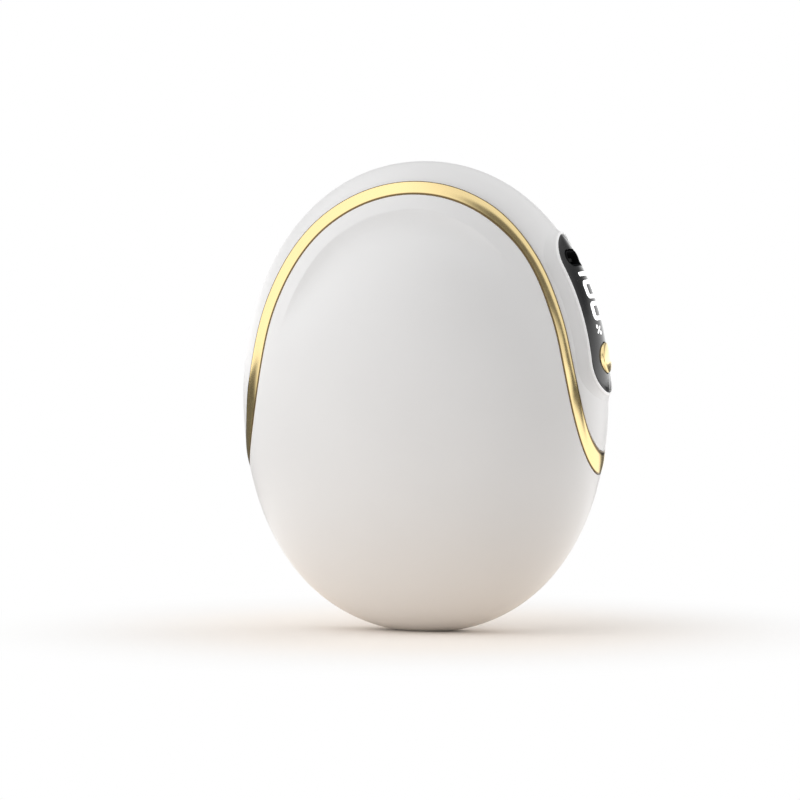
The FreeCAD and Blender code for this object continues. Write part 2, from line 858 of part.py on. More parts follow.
def film_lead(x, side):
    """From the upper edge of a heating film to the power board."""
    edge = math.sqrt(1 - (x / size("heat_half_width")) ** 2)
    height = size("heat_centre") + size("heat_half_height") * edge - clear
    line = Part.LineSegment(Vector(x, 0, height), Vector(x, side * cover, height)).toShape()
    inside = max(abs(v.Point.y) for v in line.common(film_inside.Shape).Vertexes)
    start = Vector(x, side * (inside - clear), height)
    landing = board_middle + size("film_lead_up")
    end = Vector(x, board_front if side < 0 else board_back, landing)
    return [start, Vector(x, side * size("film_lead_turn"), landing), end]


doc.recompute()
film_lead_places = (-size("film_lead_x"), size("film_lead_x"))
front_heater_leads = lead_set("front_heater_leads", [film_lead(x, -1) for x in film_lead_places])
rear_heater_leads = lead_set("rear_heater_leads", [film_lead(x, 1) for x in film_lead_places])

link_routes = []
for step in (0, 1):
    offset = size("link_pitch") * step
    landing = shifted(display, -size("link_across"), size("link_along") + offset, -display_back)
    finish = landing.Base
    run = shifted(landing, out=-size("link_out")).Base
    start_x = size("main_board_width") / 2 - size("link_inset")
    start = Vector(start_x, front_landing, board_middle - size("link_down") + offset)
    link_routes.append([start, start + Vector(size("link_run"), 0, 0), run, finish])
link_leads = lead_set("link_leads", link_routes)

switch_routes = []
for across in (-size("switch_lead_across"), size("switch_lead_across")):
    lower = shifted(switch_board_place, across, 0, 0)
    upper_along = size("display_board_low") + size("switch_lead_along")
    upper = shifted(display, across, upper_along, -display_back)
    lower_out = shifted(lower, out=-size("switch_lead_out")).Base
    upper_out = shifted(upper, out=-size("switch_lead_out")).Base
    switch_routes.append([lower.Base, lower_out, upper_out, upper.Base])
switch_leads = lead_set("switch_leads", switch_routes)

nodes = {
    "front_shell": front_shell,
    "rear_shell": rear_shell,
    "side_band": side_band,
    "trim_ring": trim_ring,
    "display_lens": display_lens,
    "digit_diffuser": digit_diffuser,
    "led_module": led_module,
    "display_board": display_board,
    "usb_shell": usb_shell,
    "usb_tongue": usb_tongue,
    "power_button": power_button,
    "switch_plunger": switch_plunger,
    "tact_switch": tact_switch,
    "switch_board": switch_board,
    "inner_frame": inner_frame,
    "frame_screws": frame_screws,
    "main_board": main_board,
    "board_screws": board_screws,
    "controller_chip": controller_chip,
    "power_inductor": power_inductor,
    "board_capacitors": board_capacitors,
    "temperature_sensors": temperature_sensors,
    "battery_leads": battery_leads,
    "front_heater_leads": front_heater_leads,
    "rear_heater_leads": rear_heater_leads,
    "link_leads": link_leads,
    "switch_leads": switch_leads,
    **layers,
}

doc.recompute()
for item in doc.Objects:
    if "Invalid" in item.State or "Error" in item.State:
        raise RuntimeError("failed: " + item.Label)
for name, item in nodes.items():
    item.Label = name
    if item.Shape.isNull() or not item.Shape.isValid():
        raise RuntimeError("bad shape: " + name)

os.makedirs("parts", exist_ok=True)
for name, item in nodes.items():
    item.Shape.exportStep("parts/%s.step" % name)
    solids = len(item.Shape.Solids)
    print(name, solids, round(item.Shape.Volume, 1))
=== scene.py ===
# %% [markdown]
# # A rechargeable hand warmer
# The real thing is a white egg-shaped pebble that stands on its narrow end.
# A pale gold strip runs up one side, over the top and down the other, and a
# black window with lit figures and a gold button sits on the right-hand side.
# We start from the engineering model, which fixes every place and size, and
# give its outer pieces smooth skins and all pieces a finish.

import math

import bmesh
import bpy
import numpy as np
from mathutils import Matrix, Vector


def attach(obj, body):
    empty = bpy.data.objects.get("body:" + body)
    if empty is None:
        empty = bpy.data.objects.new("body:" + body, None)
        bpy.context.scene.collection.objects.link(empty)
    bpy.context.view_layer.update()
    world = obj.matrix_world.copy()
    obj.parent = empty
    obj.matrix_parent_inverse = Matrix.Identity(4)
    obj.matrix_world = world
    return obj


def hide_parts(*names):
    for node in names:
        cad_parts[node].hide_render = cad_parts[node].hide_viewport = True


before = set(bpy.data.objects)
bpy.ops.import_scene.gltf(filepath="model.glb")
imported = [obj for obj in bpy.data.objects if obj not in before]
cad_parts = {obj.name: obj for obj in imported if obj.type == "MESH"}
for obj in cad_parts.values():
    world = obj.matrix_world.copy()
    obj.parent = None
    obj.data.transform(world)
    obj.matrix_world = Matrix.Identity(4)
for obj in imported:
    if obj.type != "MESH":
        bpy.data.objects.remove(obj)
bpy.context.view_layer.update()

# %% [markdown]
# ## The pebble form
# The housing is one smooth egg, flattened from front to back. It could be a
# sphere that is scaled and pulled, but the outline has to match the solid
# model exactly, or the strip and the window would not sit on it. So the half
# outline is written down as two curved arcs from pole to belt, the same ones
# that the solid model is turned from, and a function tells how far any point
# lies from that skin.

# %% The egg in numbers, in millimetres
MM = 0.001
HALF_WIDTH = 38.4
HALF_THICKNESS = 20.0
HEIGHT = 96.0
BELT = 48.0
FOOT = 0.4
FULL_TOP = 0.578
FULL_BASE = 0.605
WALL = 2.2
SEAM = 0.1
FARTHEST = 140.0
HALVINGS = 50


def outline_table(inset):
    """Angle from the top pole and reach from the belt's middle, along the half outline."""
    t = np.linspace(0, 1, 3001)
    weights = np.stack([(1 - t) ** 3, 3 * t * (1 - t) ** 2, 3 * t * t * (1 - t), t**3])
    radius = HALF_WIDTH - inset
    angles, reaches = [], []
    for pole, full in ((HEIGHT - inset - BELT, FULL_TOP), (inset - FOOT - BELT, FULL_BASE)):
        across = np.array([0, full * radius, radius, radius]) @ weights
        up = np.array([pole, pole, full * pole, 0]) @ weights
        angles.append(np.arctan2(across, up))
        reaches.append(np.hypot(across, up))
    angle = np.concatenate([angles[0], angles[1][::-1][1:]])
    reach = np.concatenate([reaches[0], reaches[1][::-1][1:]])
    return angle, reach


def share_of_way(points, inset, depth):
    """How far each point is on the way from the middle to the skin: 1 is on the skin."""
    angle, reach = outline_table(inset)
    flat = (depth - inset) / (HALF_WIDTH - inset)
    x, y, z = points[..., 0], points[..., 1] / flat, points[..., 2] - BELT
    side = np.hypot(x, y)
    return np.hypot(side, z) / np.interp(np.arctan2(side, z), angle, reach)


def lay_on_egg(points, inset=0.0, depth=HALF_THICKNESS):
    """Moves points straight out from the middle until they lie on the skin."""
    points = np.asarray(points, float)
    middle = np.array([0, 0, BELT])
    return middle + (points - middle) / share_of_way(points, inset, depth)[..., None]


def push_out(start, way, inset=0.0, depth=HALF_THICKNESS):
    """Moves points from inside the egg along a way until they reach the skin."""
    start, way = np.broadcast_arrays(np.asarray(start, float), np.asarray(way, float))
    way = way / np.linalg.norm(way, axis=-1, keepdims=True)
    low = np.zeros(start.shape[:-1])
    high = np.full(start.shape[:-1], FARTHEST)
    for _ in range(HALVINGS):
        half = (low + high) / 2
        inside = share_of_way(start + half[..., None] * way, inset, depth) < 1
        low, high = np.where(inside, half, low), np.where(inside, high, half)
    return start + low[..., None] * way


def side_radius(height):
    return float(push_out([0, 0, height], [1, 0, 0])[0])


print("half width at the belt:", round(side_radius(BELT), 2), "at 80 mm:", round(side_radius(80), 2))

# %% [markdown]
# ## The line of the gold strip
# Seen from the side, the strip is two straight legs that close in a long,
# slightly full half ellipse. The shells end at one edge of it and the side
# band at the other, so all of them share one drawing function: give it a half
# width and the height of the lower end, and it returns the line on the egg
# from the right-hand tip, over the front of the top, to the left-hand tip.
# The line isn't quite even: it is drawn in a little on the upper right and
# let out on the left, and the strip is narrower down the right-hand leg.

# %% Draw a line of the strip
TRIM_HALF = 10.25
TRIM_WIDTH = 1.3
TRIM_CENTRE = 60.5
TRIM_END = 34.85
TRIM_END_WIDTH = 4.7
TURN_FULL = 2.25
NARROW = 0.25
DRAWN_IN = 0.45
LET_OUT = 0.37
LEG_ANGLE = 72.0
GROOVE = 0.1
TURN_STEPS = 44
LEG_STEPS = 110
# Where the unevenness begins and ends, in degrees from the top, to the right
RIGHT_LEG = (22, 42)
IN_BEGINS, IN_ENDS = (-28, 20), (60, 35)
OUT_BEGINS = (-25, -55)


def ease(value, start, end):
    """0 up to the start, 1 from the end on, and a soft change between them."""
    t = np.clip((value - start) / (end - start), 0, 1)
    return t * t * (3 - 2 * t)


def on_right(angle):
    """0 over the top and on the left, 1 down the right-hand leg; angles are degrees from the top."""
    return ease(angle, *RIGHT_LEG)


def draw_in(angle):
    """How far the line is drawn towards the middle at an angle."""
    drawn_in = DRAWN_IN * ease(angle, *IN_BEGINS) * ease(angle, *IN_ENDS)
    return drawn_in - LET_OUT * ease(angle, *OUT_BEGINS)


def strip_line(half, end, narrow=0.0):
    """One line of the strip, on the front of the egg; the right-hand leg may be moved out."""
    turn = np.linspace(0, math.pi / 2, TURN_STEPS + 1)
    down = TRIM_CENTRE - (TRIM_CENTRE - end) * np.cos(turn) ** (2 / TURN_FULL)
    legs, ends = [], []
    for side in (1, -1):
        reach = half - draw_in(LEG_ANGLE * side) + narrow * on_right(LEG_ANGLE * side)
        start = np.stack([0 * turn, -reach * np.sin(turn) ** (2 / TURN_FULL), down], axis=1)
        legs.append(push_out(start, [side, 0, 0]))
        ends.append(math.atan2(legs[-1][-1, 0], TRIM_CENTRE - BELT))
    angle = np.linspace(*ends, 2 * LEG_STEPS + 1)[1:-1]
    reach = half - draw_in(np.degrees(angle)) + narrow * on_right(np.degrees(angle))
    start = np.stack([0 * angle, -reach, 0 * angle + BELT], axis=1)
    over = push_out(start, np.stack([np.sin(angle), 0 * angle, np.cos(angle)], axis=1))
    return np.concatenate([legs[0], over, legs[1][::-1]])


def round_both_faces(line):
    """Closes a front line with its mirror image on the rear."""
    return np.concatenate([line, line[-2:0:-1] * [1, -1, 1]])


outer_half, inner_half = TRIM_HALF + TRIM_WIDTH / 2, TRIM_HALF - TRIM_WIDTH / 2
outer_end, inner_end = TRIM_END - TRIM_END_WIDTH / 2, TRIM_END + TRIM_END_WIDTH / 2
shell_line = strip_line(outer_half + GROOVE, outer_end - GROOVE)
trim_outer = strip_line(outer_half, outer_end)
trim_inner = strip_line(inner_half, inner_end, NARROW)
band_line = strip_line(inner_half - GROOVE, inner_end + GROOVE, NARROW)
top = TURN_STEPS + LEG_STEPS
width_at_top = np.linalg.norm(trim_outer[top] - trim_inner[top])
print("points on a line:", len(shell_line), "strip width at the top:", round(width_at_top, 2))

# %% [markdown]
# ## Helpers for modelling
# The pieces are drawn ring by ring, as by hand: a circle is added, its points
# are pulled to their places, and it is extruded again and again. Each point
# carries its number along when it is extruded, so that the new ring can be
# pulled to its own places.


# %% Select pieces and draw in rings
def deselect_all():
    if bpy.context.object and bpy.context.object.mode != "OBJECT":
        bpy.ops.object.mode_set(mode="OBJECT")
    bpy.ops.object.select_all(action="DESELECT")


def only(piece):
    deselect_all()
    piece.select_set(True)
    bpy.context.view_layer.objects.active = piece


def pull_ring(piece, row):
    """Puts the selected points of the ring at the places of a row."""
    work = bmesh.from_edit_mesh(piece.data)
    number = work.verts.layers.int["number"]
    for point in work.verts:
        if point.select:
            point.co = Vector(row[point[number]]) * MM
    bmesh.update_edit_mesh(piece.data)


def draw_rings(name, rows, close=False, fill=False):
    """A skin through closed rows of points: the first ring is extruded from row to row."""
    deselect_all()
    bpy.ops.mesh.primitive_circle_add(vertices=len(rows[0]), radius=0.01)
    piece = bpy.context.object
    piece.name = piece.data.name = name
    bpy.ops.object.mode_set(mode="EDIT")
    work = bmesh.from_edit_mesh(piece.data)
    number = work.verts.layers.int.new("number")
    for count, point in enumerate(work.verts):
        point[number] = count
    bmesh.update_edit_mesh(piece.data)
    bpy.ops.mesh.select_all(action="SELECT")
    pull_ring(piece, rows[0])
    for row in rows[1:]:
        bpy.ops.mesh.extrude_region_move()
        pull_ring(piece, row)
    if fill:
        bpy.ops.mesh.merge(type="CENTER")
    if close:
        bpy.ops.mesh.select_all(action="DESELECT")
        bpy.ops.mesh.select_non_manifold()
        bpy.ops.mesh.bridge_edge_loops()
    face_outwards(piece)
    return piece


# %% [markdown]
# A skin that was extruded may face inwards, and it has no thickness yet. The
# next helpers merge its doubles and turn it outwards, move all of its points
# at once, and use modifiers to give it a wall with rounded edges.

# %% Turn outwards and pull points
MERGE = 1e-7
MIDDLE = Vector((0, 0, BELT * MM))


def face_outwards(piece):
    only(piece)
    bpy.ops.object.mode_set(mode="EDIT")
    bpy.ops.mesh.select_all(action="SELECT")
    bpy.ops.mesh.remove_doubles(threshold=MERGE)
    bpy.ops.mesh.normals_make_consistent(inside=False)
    bpy.ops.object.mode_set(mode="OBJECT")


def turn_outwards(piece):
    """Turns an open skin so that it faces away from the egg's middle."""
    total = sum((f.center - MIDDLE).dot(f.normal) * f.area for f in piece.data.polygons)
    if total < 0:
        only(piece)
        bpy.ops.object.mode_set(mode="EDIT")
        bpy.ops.mesh.select_all(action="SELECT")
        bpy.ops.mesh.flip_normals()
        bpy.ops.object.mode_set(mode="OBJECT")


def points_of(piece):
    """The piece's points, in millimetres."""
    flat = np.empty(3 * len(piece.data.vertices), np.float32)
    piece.data.vertices.foreach_get("co", flat)
    return flat.reshape(-1, 3).astype(float) / MM


def pull_points(piece, points):
    """Moves all points of a piece to places given in millimetres."""
    piece.data.vertices.foreach_set("co", (np.asarray(points) * MM).astype(np.float32).ravel())
    piece.data.update()


# %% Give a wall, smooth and stand in for a solid
ROUNDED_ANGLE = math.radians(55)


def finish_with(piece, kind, **settings):
    """Adds one modifier and applies it."""
    only(piece)
    bpy.ops.object.modifier_add(type=kind)
    modifier = piece.modifiers[-1]
    for key, value in settings.items():
        setattr(modifier, key, value)
    bpy.ops.object.modifier_apply(modifier=modifier.name)


def give_wall(piece, thickness, rounding, steps=3):
    """Gives a skin its thickness, inwards, and rounds the edges of the wall."""
    finish_with(piece, "SOLIDIFY", thickness=thickness * MM, offset=-1)
    corners = dict(limit_method="ANGLE", angle_limit=ROUNDED_ANGLE, use_clamp_overlap=True)
    finish_with(piece, "BEVEL", width=rounding * MM, segments=steps, **corners)


def smooth(piece, angle=40):
    only(piece)
    bpy.ops.object.shade_smooth_by_angle(angle=math.radians(angle))


def stands_for(piece, body, slot_name, *nodes):
    """Lets a new piece ride on a body in place of the solids that it shows."""
    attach(piece, body)
    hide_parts(*nodes)
    print(piece.name, "faces:", len(piece.data.polygons))


# %% [markdown]
# ## The front and rear shells
# The two big white shells carry the warmth to the hand. Each is a bowl with
# its edge along the strip and along the middle seam. We draw that edge, then
# extrude it towards the middle of the face in rings, and lay every ring on
# the egg. The rings run along the strip, which suits the crease that follows
# it on the upper face: there the skin turns in sharply, by about a millimetre
# at most, and comes back over the next two centimetres.

# %% Outline of a shell
CREASE_START = 3.5
CREASE_SLOPE = 1.0
CREASE_TURN = 2.0
CREASE_RETURN = 9.0
CREASE_LEFT, CREASE_RIGHT = (58, 74), (72, 84)
CREASE_CHANGE = (-12, 12)
SEAM_STEPS = 120


def shell_outline():
    """The edge along the strip from tip to tip, and back along the seam under it."""
    edge = np.array(shell_line)
    edge[:, 1] = np.minimum(edge[:, 1], -SEAM / 2)
    tip = edge[-1]
    angle = math.atan2(tip[0], tip[2] - BELT)
    angles = np.linspace(angle, -2 * math.pi - angle, SEAM_STEPS + 1)[1:-1]
    way = np.stack([np.sin(angles), 0 * angles, np.cos(angles)], axis=1)
    seam = push_out([0, -SEAM / 2, BELT], way)
    return np.concatenate([edge, seam])


def crease(points):
    """Depth of the dip that follows the strip on the upper part of a face."""
    away = np.full(len(points), np.inf)
    for place in shell_line[::2]:
        away = np.minimum(away, np.linalg.norm(points - place, axis=1))
    past = np.maximum(away - CREASE_START, 0)
    dip = CREASE_SLOPE * CREASE_TURN * (1 - np.exp(-past / CREASE_TURN)) * np.exp(-past / CREASE_RETURN)
    across, height = points[:, 0], points[:, 2]
    left, right = ease(height, *CREASE_LEFT), ease(height, *CREASE_RIGHT)
    mix = ease(across, *CREASE_CHANGE)
    outside = share_of_way(points, WALL / 2, HALF_THICKNESS) > 1
    return dip * (left * (1 - mix) + right * mix) * outside


FACE_MIDDLE = 27.0
FINE_RINGS, FINE_END = 35, 0.85
WIDE_RINGS, WIDE_END = 33, 0.02
outline = shell_outline()
face_middle = push_out([0, 0, FACE_MIDDLE], [0, -1, 0])
fine, wide = np.linspace(1, FINE_END, FINE_RINGS + 1), np.linspace(FINE_END, WIDE_END, WIDE_RINGS + 1)
shares = np.concatenate([fine, wide[1:]])
shell_rows = [lay_on_egg(face_middle + share * (outline - face_middle)) for share in shares]
print("points round a shell:", len(outline), "rings:", len(shell_rows))

# %% Model the front shell, then mirror it for the rear
SHELL_ROUNDING = 0.3
front_shell = draw_rings("front_shell_skin", shell_rows, fill=True)
skin = lay_on_egg(points_of(front_shell))
skin[:, 2] = np.maximum(skin[:, 2], 0)
pull_points(front_shell, skin)
turn_outwards(front_shell)
give_wall(front_shell, WALL, SHELL_ROUNDING)
skin = points_of(front_shell)
depth = crease(skin)[:, None]
pull_points(front_shell, skin + depth * (lay_on_egg(skin, inset=1.0) - lay_on_egg(skin)))
smooth(front_shell)

only(front_shell)
bpy.ops.object.duplicate()
rear_shell = bpy.context.object
rear_shell.name = rear_shell.data.name = "rear_shell_skin"
bpy.ops.object.mode_set(mode="EDIT")
bpy.ops.mesh.select_all(action="SELECT")
bpy.ops.transform.resize(value=(1, -1, 1), center_override=(0, 0, 0))
bpy.ops.mesh.flip_normals()
bpy.ops.object.mode_set(mode="OBJECT")
stands_for(front_shell, "housing", "shell_white", "front_shell")
stands_for(rear_shell, "housing", "shell_white", "rear_shell")

# %% [markdown]
# ## The gold strip
# The strip is bent metal with a nearly flat face, narrow on the straight legs
# and broad where it turns. Its face leans towards the front: it is level with
# the shell at one edge and stands proud of the band at the other. A curve with
# a bevel keeps one width all the way, so the strip is drawn in rings instead:
# each ring is the whole loop at one place of the cross-section. The edges
# carry a mark, which the finish uses to paint a fine dark line along them: a
# painted shade of the gaps beside the strip. Down the right-hand leg the
# painted shade line is a little wider on the band's side.

# %% Model the strip
LEAN_RISE = 0.85
CROWN = 0.16
TRIM_SUNK = 1.4
EDGE = 0.06
EDGE_DROP = 0.08
EDGE_STEPS = 5
FACE_PLACES = (0.1, 0.12, 0.2, 0.3, 0.4, 0.5)
LEAN_FADE = 14.0
LEAN_LESS = 0.24
loop_in, loop_out = round_both_faces(trim_inner), round_both_faces(trim_outer)
loop_angle = np.degrees(np.arctan2(loop_in[:, 0], loop_in[:, 2] - BELT))
lean_share = ease(loop_in[:, 2], inner_end, inner_end + LEAN_FADE)
lean_share = lean_share * (1 - LEAN_LESS * on_right(loop_angle))


def strip_row(v, drop):
    """The loop at one place of the section, so far below the strip's face."""
    rise = LEAN_RISE * (1 - v) * lean_share + CROWN * (1 - (2 * v - 1) ** 2) - drop
    places = loop_in + v * (loop_out - loop_in)
    low, high = lay_on_egg(places), lay_on_egg(places, inset=-1.0)
    return low + rise[:, None] * (high - low)


turn = np.linspace(0, math.pi / 2, EDGE_STEPS + 1)
corner = list(zip(EDGE * (1 - np.cos(turn)), EDGE_DROP * (1 - np.sin(turn))))
half = [(0.0, TRIM_SUNK), *corner, *[(v, 0.0) for v in FACE_PLACES]]
section = half + [(1 - v, drop) for v, drop in half[-2::-1]]
trim_strip = draw_rings("gold_strip", [strip_row(*place) for place in section], close=True)
smooth(trim_strip, 50)
stands_for(trim_strip, "housing", "trim_gold", "trim_ring")

# %% Mark the strip's edges for the painted gap shade
LINE_IN, LINE_OUT = 0.11, 0.93
WIDER_ROW = len(corner) + 2


def mark_painted_light(piece, rows):
    """Writes one value for each point, ring by ring, marking where the finish paints shade or a highlight.
    """
    mark = piece.data.attributes.new("edge", "FLOAT", "POINT")
    mark.data.foreach_set("value", np.concatenate(rows).astype(np.float32))


# Rows at both edges take the painted shade of the gaps; down the right-hand leg one more row on the band's
# side takes it too.
gap_shade_rows = [np.full(len(loop_in), v < LINE_IN or v > LINE_OUT) for v, drop in section]
gap_shade_rows[WIDER_ROW] = on_right(loop_angle)
mark_painted_light(trim_strip, gap_shade_rows)
print("marked rings:", sum(row.any() for row in gap_shade_rows), "of", len(section))

# %% [markdown]
# ## The side band
# Inside the strip the housing is one long band from tip to tip over the top.
# It is a grid whose long edges follow the strip's inner edge, and each cross
# row is pushed out to the egg at its own depth. The window's opening is cut
# later, once the window is drawn.

# %% Model the band
CROSS = 24
BAND_ROUNDING = 0.25
deselect_all()
bpy.ops.mesh.primitive_grid_add(x_subdivisions=len(band_line) - 1, y_subdivisions=CROSS, size=0.1)
side_band = bpy.context.object
side_band.name = side_band.data.name = "side_band_skin"
rows = []
for share in np.linspace(1, -1, CROSS + 1):
    flat = band_line * [1, share, 1]
    start = np.stack([0 * flat[:, 0], flat[:, 1], 0 * flat[:, 0] + BELT], axis=1)
    rows.append(push_out(start, np.stack([flat[:, 0], 0 * flat[:, 0], flat[:, 2] - BELT], axis=1)))
pull_points(side_band, np.concatenate(rows))
face_outwards(side_band)
turn_outwards(side_band)
give_wall(side_band, WALL, BAND_ROUNDING)
print("side band faces:", len(side_band.data.polygons))

# %% [markdown]
# ## The window
# The black window is a long pill that follows the side but is flatter across
# than the egg, so it stands a little proud. A place on it is given by two
# numbers, across and along, in a plane that leans with the side; from there
# it is pushed out to the window's own skin.

# %% Places on the window
PANEL_LOW = 50.0
PANEL_HIGH = 81.9
PANEL_WIDTH = 13.6
LENS_RISE = 0.3
LENS_DEPTH = HALF_THICKNESS + 3.5
LENS_THICKNESS = 1.25
DISPLAY_HEIGHT = 70.0
BUTTON_HEIGHT = 56.2
WELL_INSIDE = 14.0


class Plane:
    """A plane on the right-hand side: across is to the rear, along is up, out leaves the object."""

    def __init__(self, height, lean):
        self.across = np.array([0.0, 1.0, 0.0])
        self.along = np.array([-math.sin(lean), 0.0, math.cos(lean)])
        self.out = np.array([math.cos(lean), 0.0, math.sin(lean)])
        self.middle = np.array([side_radius(height) + LENS_RISE, 0.0, height])

    def at(self, places, out=0.0):
        places = np.asarray(places, float)
        across, along = places[..., :1] * self.across, places[..., 1:2] * self.along
        return self.middle + across + along + out * self.out

    def places_of(self, points):
        return (points - self.middle) @ np.stack([self.across, self.along], axis=1)

    def on_skin(self, places, rise=LENS_RISE, depth=LENS_DEPTH):
        return push_out(self.at(places, -WELL_INSIDE), self.out, inset=-rise, depth=depth)


def lean_at(height, step=0.01):
    """How far the side leans back at a height, from the widths just under and over it."""
    return math.atan2(side_radius(height - step) - side_radius(height + step), 2 * step)


low_x, high_x = side_radius(PANEL_LOW), side_radius(PANEL_HIGH)
panel_length = math.hypot(low_x - high_x, PANEL_HIGH - PANEL_LOW)
panel = Plane((PANEL_LOW + PANEL_HIGH) / 2, math.atan2(low_x - high_x, PANEL_HIGH - PANEL_LOW))
display_lean = lean_at(DISPLAY_HEIGHT)
display = Plane(DISPLAY_HEIGHT, display_lean)
button_plane = Plane(BUTTON_HEIGHT, lean_at(BUTTON_HEIGHT))


def pill(length, width, cap_points=32, side_steps=40):
    """A stadium outline, upright, as places across and along."""
    turn = np.linspace(0, math.pi, cap_points)
    cap = np.stack([np.cos(turn), np.sin(turn)], axis=1) * width / 2
    straight = np.linspace(1, -1, side_steps + 1)[1:-1, None] * [0, (length - width) / 2]
    up = cap + [0, (length - width) / 2]
    down = -cap - [0, (length - width) / 2]
    return np.concatenate([up, straight - [width / 2, 0], down, -straight + [width / 2, 0]])


print("window length:", round(panel_length, 2), "lean:", round(math.degrees(display_lean), 1))

# %% [markdown]
# The window is drawn as its outline and rings towards its middle, given a
# thickness, and then two holes are cut: a slot for the charging socket and a
# round hole for the button. A boolean is right here, because the holes have
# sharp edges and the skin between them is nearly flat.

# %% Model the window
LENS_GAP = 0.1
LENS_ROUNDING = 0.12
LENS_RINGS, LENS_END = 17, 0.04
edge = pill(panel_length - 2 * LENS_GAP, PANEL_WIDTH - 2 * LENS_GAP)
lens_rows = [panel.on_skin(edge * share) for share in np.linspace(1, LENS_END, LENS_RINGS)]
window = draw_rings("black_window", lens_rows, fill=True)
pull_points(window, panel.on_skin(panel.places_of(points_of(window))))
turn_outwards(window)
give_wall(window, LENS_THICKNESS, LENS_ROUNDING, 2)
print("window faces before the cuts:", len(window.data.polygons))


# %% Cut the slot and the button's hole
def prism(name, outline, plane, place, low, high):
    """A straight block with the given outline, along a plane's way out."""
    rows = [plane.at(outline + np.array(place), out) for out in (low, high)]
    block = draw_rings(name, rows)
    only(block)
    bpy.ops.object.mode_set(mode="EDIT")
    bpy.ops.mesh.select_all(action="DESELECT")
    bpy.ops.mesh.select_non_manifold()
    bpy.ops.mesh.edge_face_add()
    bpy.ops.object.mode_set(mode="OBJECT")
    face_outwards(block)
    return block


def cut_away(piece, block):
    finish_with(piece, "BOOLEAN", object=block, operation="DIFFERENCE", solver="EXACT")
    bpy.data.objects.remove(block, do_unlink=True)


def along_display(height):
    """A height on the object, as a way along the display's plane."""
    return (height - DISPLAY_HEIGHT) / math.cos(display_lean)


SOCKET_HEIGHT = 76.7
SOCKET_LONG, SOCKET_THICK = 8.94, 3.26
SLOT_ROOM = 0.6
HOLE_RADIUS = 3.3
ROUND_STEPS = 96
HOLE_CUT = (-6, 4)
slot_outline = pill(SOCKET_LONG + SLOT_ROOM, SOCKET_THICK + SLOT_ROOM)[:, ::-1]
ring = np.linspace(0, 2 * math.pi, ROUND_STEPS + 1)[:-1]
hole_outline = HOLE_RADIUS * np.stack([np.cos(ring), np.sin(ring)], axis=1)
slot_place = (0, along_display(SOCKET_HEIGHT))
cut_away(window, prism("slot_block", slot_outline, display, slot_place, *HOLE_CUT))
cut_away(window, prism("hole_block", hole_outline, button_plane, (0, 0), *HOLE_CUT))
smooth(window, 30)
stands_for(window, "housing", "window_black", "display_lens")

# %% [markdown]
# ## The lip round the window
# A narrow white lip rises out of the band and frames the window. It catches
# the light, so it needs a round back: rings round the pill, from the inner
# wall over the crest and down into the band. The crest is marked, and the
# finish paints it a touch whiter: a painted highlight along it.

# %% Cut the band and add the lip
LIP_RISE = 0.32
LIP_SUNK = 0.08
CREST_END = 0.5
OPENING_MARGIN = 0.8
OPENING_CUT = (-9, 6)


def lip_row(margin, rise, blend):
    """One ring at a margin outside the window, between its skin and the band's."""
    outline = pill(panel_length + 2 * margin, PANEL_WIDTH + 2 * margin)
    high = panel.on_skin(outline, LENS_RISE + rise)
    low = panel.on_skin(outline, -LIP_SUNK, HALF_THICKNESS)
    return high * (1 - blend) + low * blend


# Margin outside the window, rise over its skin, and share of the band's skin
lip_shape = [
    (0.0, -1.0, 0),
    (0.0, 0.1, 0),
    (0.05, 0.21, 0),
    (0.14, 0.29, 0),
    (0.25, LIP_RISE, 0),
    (0.36, 0.29, 0),
    (0.46, 0.2, 0.02),
    (0.55, 0.08, 0.06),
    (0.7, 0.0, 0.17),
    (0.95, 0.0, 0.4),
    (1.3, 0.0, 0.67),
    (1.7, 0.0, 0.88),
    (2.1, 0.0, 1.0),
]
lip_rows = [lip_row(*row) for row in lip_shape]
lip = draw_rings("window_lip", lip_rows)
# The rows over the inner wall and the crest are marked for the painted highlight.
mark_painted_light(lip, [np.full(len(lip_rows[0]), margin < CREST_END) for margin, rise, blend in lip_shape])
turn_outwards(lip)
opening = pill(panel_length + 2 * OPENING_MARGIN, PANEL_WIDTH + 2 * OPENING_MARGIN)
cut_away(side_band, prism("opening_block", opening, panel, (0, 0), *OPENING_CUT))
smooth(side_band, 40)
smooth(lip, 60)
only(side_band)
lip.select_set(True)
bpy.ops.object.join()
stands_for(side_band, "housing", "shell_white", "side_band")

# %% [markdown]
# ## The lit figures
# The window shows a full charge in white figures that read downwards. They
# are flat outlines, filled as a curve and made a mesh, and then laid on the
# window, a hair above it, so that they follow its bow.

# %% Outlines of the figures
FIGURE_HEIGHT = 6.1
FIGURE_WIDTH = 3.9
STROKE = 0.85
BASE_STROKE = 1.3
OUTER_CORNER, INNER_CORNER = 1.2, 0.3
ONE_PLACE = 73.25
ZERO_PLACES = (70.1, 65.8)
SIGN_PLACE = 62.2
SIGN_SIZE = 2.4
SIGN_SLASH, SIGN_STROKE, SIGN_SLANT = 2.2, 0.38, 38
SIGN_DOT, DOT_PLACE = 0.78, 0.65
SLASH_CORNER, DOT_CORNER = 0.18, 0.38
CORNER_POINTS = 7
CLOSE_STEP = 0.3


